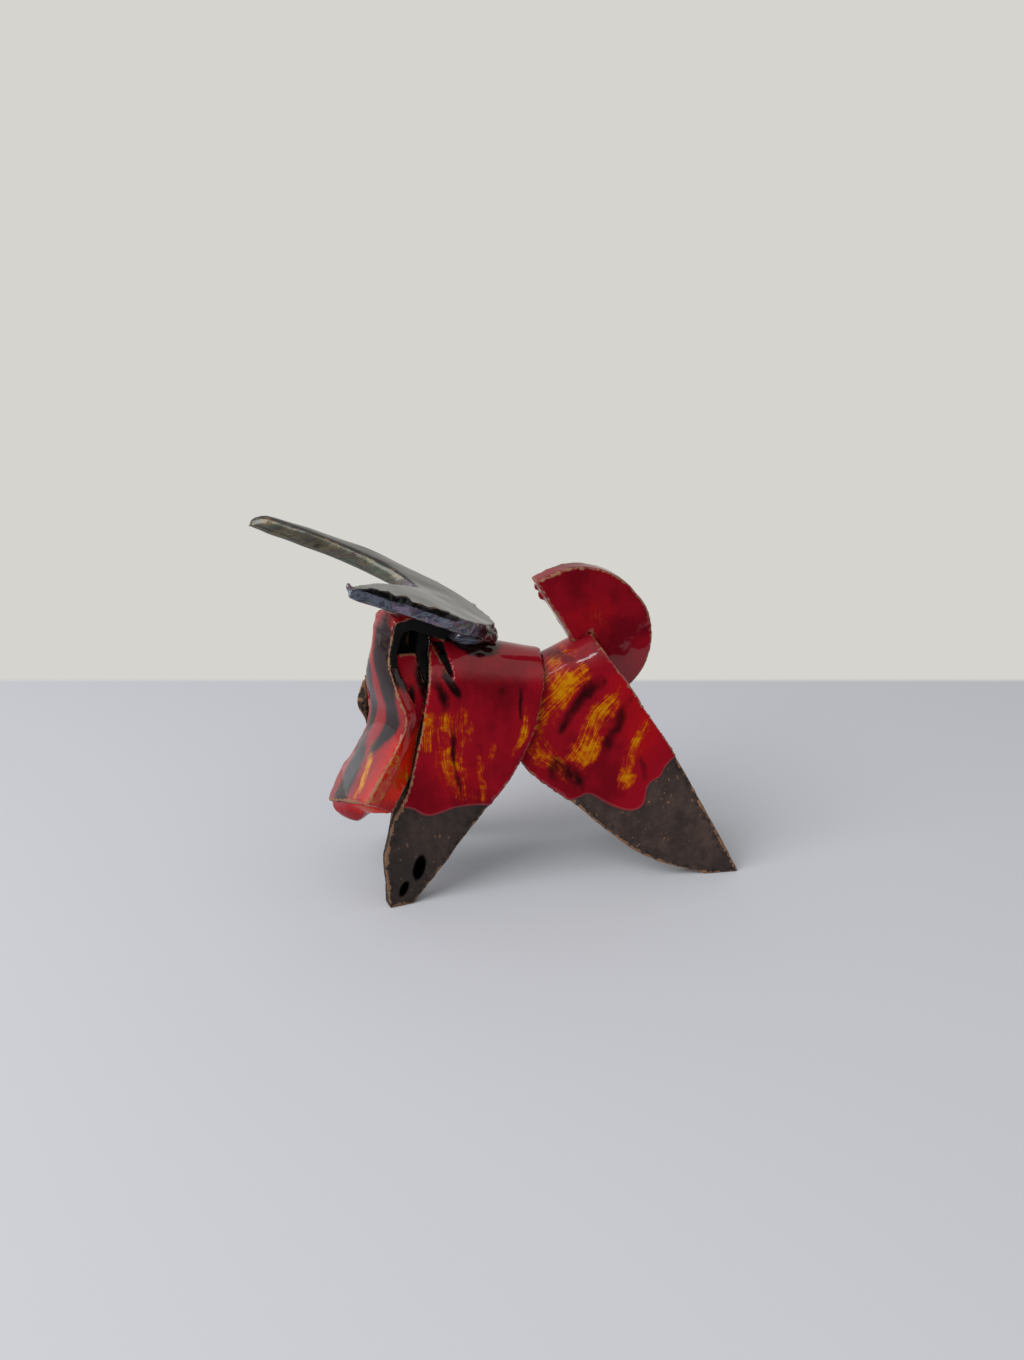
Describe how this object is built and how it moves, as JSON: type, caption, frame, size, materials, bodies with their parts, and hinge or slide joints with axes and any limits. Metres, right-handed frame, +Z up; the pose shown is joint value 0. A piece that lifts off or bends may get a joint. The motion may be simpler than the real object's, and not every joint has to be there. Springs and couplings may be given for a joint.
{
  "type": "bull figurine",
  "caption": "Slab-built ceramic bull that stands on the ends of two bent body slabs, with a turned strap-like head, a crescent horn slab and a half-moon tail slab.",
  "frame": {"origin": "under the middle of the figure's box, on the surface that the feet stand on", "axes": "+X towards the tail, +Y towards the bull's right side, +Z up; the bull looks along -X"},
  "size_m": [0.1526, 0.07, 0.1126],
  "materials": {
    "body_glaze": "gloss",
    "face_glaze": "gloss",
    "cheek_glaze": "gloss",
    "tail_glaze": "gloss",
    "horn_lustre": "gloss",
    "bare_clay": "matte"
  },
  "bodies": {
    "root": {"front_saddle": "body_glaze", "rear_saddle": "body_glaze", "face_strip": "face_glaze", "left_cheek": "cheek_glaze", "right_cheek": "cheek_glaze", "nose_plate": "cheek_glaze", "throat_slab": "bare_clay", "horn_slab": "horn_lustre", "horn_seat": "horn_lustre", "tail_slab": "tail_glaze"}
  },
  "joints": []
}
